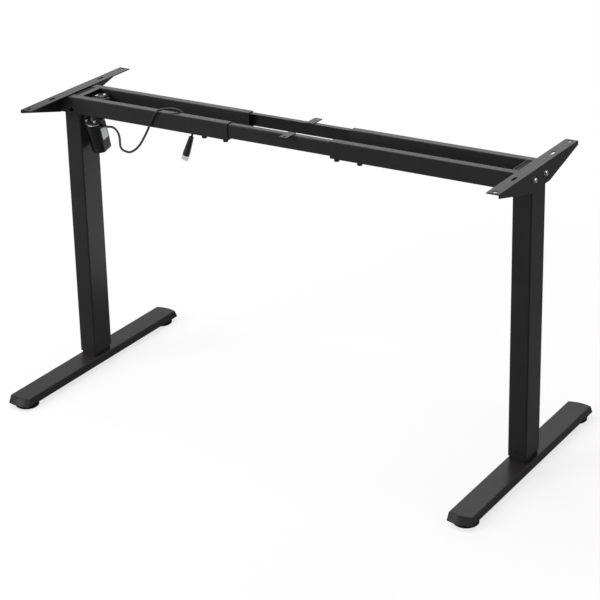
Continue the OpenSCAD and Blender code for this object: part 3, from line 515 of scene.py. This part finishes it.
# %% Cover screws
shaft_height = 0.680
bracket_wall, chamber_length, cover_thickness = 0.0025, 0.046, 0.003
cover_face = column_face + bracket_wall + chamber_length + cover_thickness
ear_angles = (45, 225, 315)
ear_reach = 0.023
cover_screws = bmesh.new()
for angle in ear_angles:
    turn_x = radians(angle)
    screw_place = axis_place((cover_face, -ear_reach * sin(turn_x),
                              shaft_height + ear_reach * cos(turn_x)), (1, 0, 0))
    cap_screw(cover_screws, screw_place, radius=0.0035, head=0.003, socket=0.0017,
              depth=0.0016, shank=0.002, length=0.013)
piece("gearbox_cover_screws", cover_screws, black_oxide, "frame_left")

# %% [markdown]
# Two more screws hold the gearbox to its bracket from above, and two hold the motor to the
# collar. The motor leans, and all that sits on it is drawn along one matrix, its axis: the origin
# is where the axis passes the shaft, and the height runs up along the worm.

# %% Cap screws
lean = radians(15)
motor_x = column_face + 0.029
worm_centre = 0.0232
motor_axis = Matrix.Translation((motor_x, -worm_centre * cos(lean),
                                 shaft_height - worm_centre * sin(lean))) @ Matrix.Rotation(
                                     lean, 4, "X")
pad_height = shaft_height + 0.023
top_places = ((0.023, 0.004), (0.035, 0.020))
collar_spread, collar_row, collar_top = 0.011, -0.0155, -0.021
screws = bmesh.new()
for x, y in top_places:
    cap_screw(screws, axis_place((column_face + x, y, pad_height), (0, 0, 1)), radius=0.004,
              head=0.0025, socket=0.002, depth=0.0015, shank=0.002, length=0.0025)
for x in (-collar_spread, collar_spread):
    cap_screw(screws, motor_axis @ Matrix.Translation((x, collar_row, collar_top)),
              radius=0.004, head=0.006, socket=0.002, depth=0.003, shank=0.002, length=0.012)
piece("gearbox_cap_screws", screws, zinc_plate, "frame_left", ["gearbox_screws"])

# %% [markdown]
# ## The motor can
# The can is a drawn steel cup with two flats, closed at the lower end by a pressed cap. A circle
# whose sides are pushed in to the flats is the outline, and it is extruded level by level, each a
# little wider or narrower than the last, which gives the seams, the rounded end and the boss. A
# spin can't make the flats.

# %% Can helper
can_radius, can_flat = 0.024, 0.020


def stepped_can(bm, levels, place, around=96):
    """Levels of (share of the outline, height), joined from the first to the last."""
    earlier = set(bm.verts)
    ring = bmesh.ops.create_circle(bm, segments=around, radius=can_radius)["verts"]
    for vert in ring:
        vert.co.x = max(-can_flat, min(can_flat, vert.co.x))
    edges = [edge for edge in bm.edges if set(edge.verts) <= set(ring)]
    face = bmesh.ops.contextual_create(bm, geom=edges)["faces"][0]
    share, height = levels[0]
    bmesh.ops.transform(bm, matrix=Matrix.LocRotScale((0, 0, height), None, (share, share, 1)),
                        verts=ring)
    for (share, height), (past_share, past_height) in zip(levels[1:], levels):
        face = bmesh.ops.extrude_discrete_faces(bm, faces=[face])["faces"][0]
        ratio = share / past_share
        bmesh.ops.transform(bm, matrix=Matrix.LocRotScale((0, 0, height - past_height), None,
                                                          (ratio, ratio, 1)), verts=face.verts)
    fresh = [vert for vert in bm.verts if vert not in earlier]
    bmesh.ops.transform(bm, matrix=place, verts=fresh)


print("can across:", 2 * can_radius, "flats:", 2 * can_flat)

# %% [markdown]
# The levels run from the boss under the cap, over the cap's rounded edge and its seam, up the
# wall to a rolled groove below the top. A thin bright end plate closes the can there.

# %% Motor can
can_top, can_bottom = -0.027, -0.106
cap_seam = can_bottom + 0.010
can_levels = [(0.30, can_bottom + 0.0002), (0.32, can_bottom), (0.34, can_bottom + 0.0002),
              (0.36, can_bottom + 0.0012), (0.70, can_bottom + 0.0012), (0.74, can_bottom + 0.0004),
              (0.84, can_bottom + 0.0004), (0.92, can_bottom + 0.0013),
              (0.975, can_bottom + 0.0030), (0.992, can_bottom + 0.0045),
              (0.992, cap_seam), (0.98, cap_seam + 0.0003), (0.98, cap_seam + 0.0008),
              (1.0, cap_seam + 0.0012), (1.0, can_top - 0.0045), (0.985, can_top - 0.0042),
              (0.985, can_top - 0.0034), (1.0, can_top - 0.0031), (1.0, can_top - 0.0016)]
plate_levels = [(0.995, can_top - 0.0015), (1.0, can_top - 0.0013), (1.0, can_top - 0.0003),
                (0.99, can_top)]
can = bmesh.new()
stepped_can(can, can_levels, motor_axis)
piece("motor_can_shell", can, motor_enamel, "frame_left", ["motor_can"])
end_plate = bmesh.new()
stepped_can(end_plate, plate_levels, motor_axis)
piece("motor_end_plate", end_plate, zinc_plate, "frame_left")

# %% [markdown]
# ## Finishes on the solids
# The feet, tubes, rails and brackets are right as they are. Each solid keeps its shape and takes
# the finish of its slot in the record, so one table from slot to finish dresses the whole frame.

# %% Dress the solids
slot_finish = {
    "frame_coat": powder_coat, "zinc": zinc_plate, "black_steel": black_oxide,
    "nylon": white_nylon, "clear_plastic": clear_plastic, "pad_plastic": moulded_plastic,
    "die_cast": cast_alloy, "dark_cast": dark_casting, "bright_steel": ground_steel,
    "bronze": wheel_bronze, "motor_black": motor_enamel, "blank_plate": plain_foil,
    "cord_black": soft_pvc}
for part in frame["record"]["subparts"]:
    for slot in nodes[part["node"]].material_slots:
        slot.material = slot_finish[part["material_slot"]]

# %% [markdown]
# ## White only where it is looked at
# A studio backdrop is white in the camera, yet it shouldn't light the desk like a sky. The kind
# of ray decides. Camera rays see the full white. Mirrors and clear pieces see a share of it,
# because a dark coat that mirrors all of the white looks grey. Rays that carry light see a dim
# world and a matt floor instead.

# %% Light path helpers
def math_node(tree, operation, *values):
    """A math node. Each value is a number to set or a socket to link."""
    made = tree.nodes.new("ShaderNodeMath")
    made.operation = operation
    for socket, value in zip(made.inputs, values):
        if isinstance(value, (int, float)):
            socket.default_value = value
        else:
            tree.links.new(value, socket)
    return made.outputs[0]


def light_path_mask(tree, mirror_share):
    """One for camera rays, and a share for the rays of mirrors and clear pieces."""
    path = tree.nodes.new("ShaderNodeLightPath").outputs
    bounced = math_node(tree, "MAXIMUM", path["Is Glossy Ray"], path["Is Transmission Ray"])
    part = math_node(tree, "MULTIPLY", bounced, mirror_share)
    return math_node(tree, "MAXIMUM", part, path["Is Camera Ray"])


def show_mix(tree, share, first, second, output_type):
    """Mixes two shaders by share and shows the result."""
    mix = tree.nodes.new("ShaderNodeMixShader")
    out = tree.nodes.new(output_type)
    for source, socket in zip((share, first, second), mix.inputs):
        tree.links.new(source, socket)
    tree.links.new(mix.outputs[0], out.inputs["Surface"])


print("light path helpers: math_node, light_path_mask, show_mix")

# %% [markdown]
# ## The floor
# Near the desk the floor mixes in its real shading, so the soft shadows at the feet stay, and
# farther out it is plain white. Seen from the object it is a darker grey than it looks, so that
# it doesn't brighten the undersides.

# %% Floor
floor_reach = 12
floor_mirror = 0.08
shade_for_others, shade_for_camera = 0.34, 1.0
white_from, white_to = 0.7, 1.7
white_near, white_far = 0.74, 1.0
floor_mesh = bmesh.new()
bmesh.ops.create_grid(floor_mesh, x_segments=1, y_segments=1, size=floor_reach)
floor_data = bpy.data.meshes.new("floor")
floor_mesh.to_mesh(floor_data)
floor_mesh.free()
floor = bpy.data.objects.new("floor", floor_data)
scene.collection.objects.link(floor)
floor_white = bpy.data.materials.new("floor_white")
floor_white.use_nodes = True
tree = floor_white.node_tree
tree.nodes.clear()
camera_ray = tree.nodes.new("ShaderNodeLightPath").outputs["Is Camera Ray"]
shade = math_node(tree, "MULTIPLY_ADD", camera_ray, shade_for_camera - shade_for_others,
                  shade_for_others)
shaded = tree.nodes.new("ShaderNodeBsdfDiffuse")
tree.links.new(shade, shaded.inputs["Color"])
bright = tree.nodes.new("ShaderNodeEmission")
bright.inputs["Strength"].default_value = 1
distance = tree.nodes.new("ShaderNodeVectorMath")
distance.operation = "LENGTH"
tree.links.new(tree.nodes.new("ShaderNodeTexCoord").outputs["Object"], distance.inputs[0])
outward = tree.nodes.new("ShaderNodeMapRange")
for name, value in (("From Min", white_from), ("From Max", white_to), ("To Min", white_near),
                    ("To Max", white_far)):
    outward.inputs[name].default_value = value
tree.links.new(distance.outputs["Value"], outward.inputs["Value"])
share = math_node(tree, "MULTIPLY", light_path_mask(tree, floor_mirror),
                  outward.outputs["Result"])
show_mix(tree, share, shaded.outputs[0], bright.outputs[0], "ShaderNodeOutputMaterial")
floor_data.materials.append(floor_white)
print("floor is plain white from", white_to, "m")

# %% [markdown]
# ## The world
# The backdrop follows the same rule. Camera rays see white, mirrors see a share of it, and the
# desk is lit by a dim, even grey that keeps the shadows soft.

# %% World
world_mirror = 0.45
dim_strength, white_strength = 0.3, 1
world = bpy.data.worlds.new("studio")
scene.world = world
world.use_nodes = True
tree = world.node_tree
tree.nodes.clear()
backdrops = []
for strength in (dim_strength, white_strength):
    backdrop = tree.nodes.new("ShaderNodeBackground")
    backdrop.inputs["Color"].default_value = (1, 1, 1, 1)
    backdrop.inputs["Strength"].default_value = strength
    backdrops.append(backdrop.outputs[0])
show_mix(tree, light_path_mask(tree, world_mirror), *backdrops, "ShaderNodeOutputWorld")
print("world strengths:", dim_strength, white_strength)

# %% [markdown]
# ## Lamps
# Two large lamps shape the desk: a key from the front left and one from above. A low, wide panel
# behind it is what the tops of the rails mirror, and a weak flat lamp just above the floor is
# what the inner side of the left column mirrors. None of them is seen by the camera.

# %% Lamps
def lamp(name, place, width, height, power, target=(0, 0, 0.4)):
    data = bpy.data.lights.new(name, "AREA")
    data.shape = "RECTANGLE"
    data.size, data.size_y = width, height
    data.energy = power
    made = bpy.data.objects.new(name, data)
    scene.collection.objects.link(made)
    made.location = place
    made.visible_camera = False
    aim = Vector(target) - Vector(place)
    made.rotation_euler = aim.to_track_quat("-Z", "Y").to_euler()
    print("lamp:", name, power, "W")


lamp("key", (-2.4, -3.2, 1.9), 2.0, 2.0, 82)
lamp("top", (-0.5, 0.0, 4.0), 3.0, 3.0, 95)
lamp("panel", (-0.9, 1.95, 1.48), 2.2, 0.5, 6)
lamp("bounce", (0.1, 1.1, 0.02), 0.95, 1.4, 5.6, target=(0.1, 1.1, 1))
